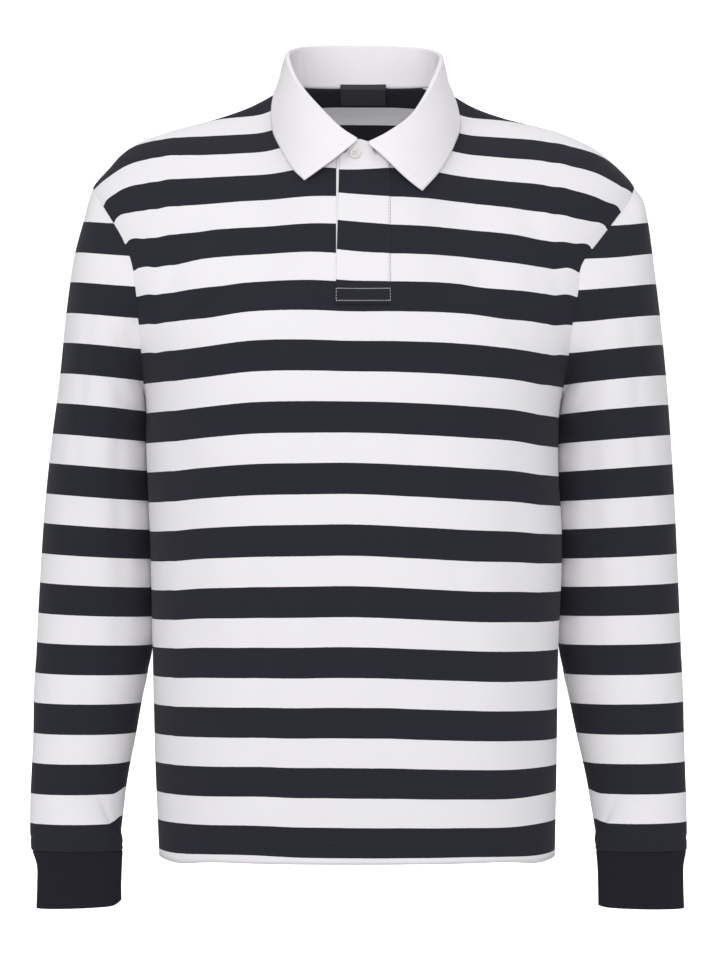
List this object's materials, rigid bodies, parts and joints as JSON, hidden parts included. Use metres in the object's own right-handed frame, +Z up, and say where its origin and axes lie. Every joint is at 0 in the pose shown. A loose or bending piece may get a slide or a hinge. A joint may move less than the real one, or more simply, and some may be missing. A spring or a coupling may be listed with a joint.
{
  "type": "long-sleeved rugby polo shirt",
  "caption": "Striped long-sleeved rugby polo, worn and hollow, with a white fold-over collar, a concealed buttoned placket and ribbed cuffs.",
  "frame": {"origin": "middle of the neck hole, level with the tops of the wearer's shoulders, which hold the shirt up", "axes": "+Z up, -Y the shirt's front, +X to the right as seen from the front"},
  "size_m": [0.6268, 0.2668, 0.8312],
  "materials": {
    "striped_jersey": "heavy cotton jersey in wide navy and white stripes, given here as their mean",
    "white_cloth": "plain woven cotton",
    "navy_rib": "fine rib knit",
    "navy_label": "woven label, bare",
    "pale_button": "pearly"
  },
  "bodies": {
    "root": {"front": "striped_jersey", "back": "striped_jersey", "sleeve_left": "striped_jersey", "sleeve_right": "striped_jersey", "placket": "striped_jersey", "placket_under": "white_cloth", "collar": "white_cloth", "cuff_left": "navy_rib", "cuff_right": "navy_rib", "label": "navy_label", "button": "pale_button"}
  },
  "joints": []
}
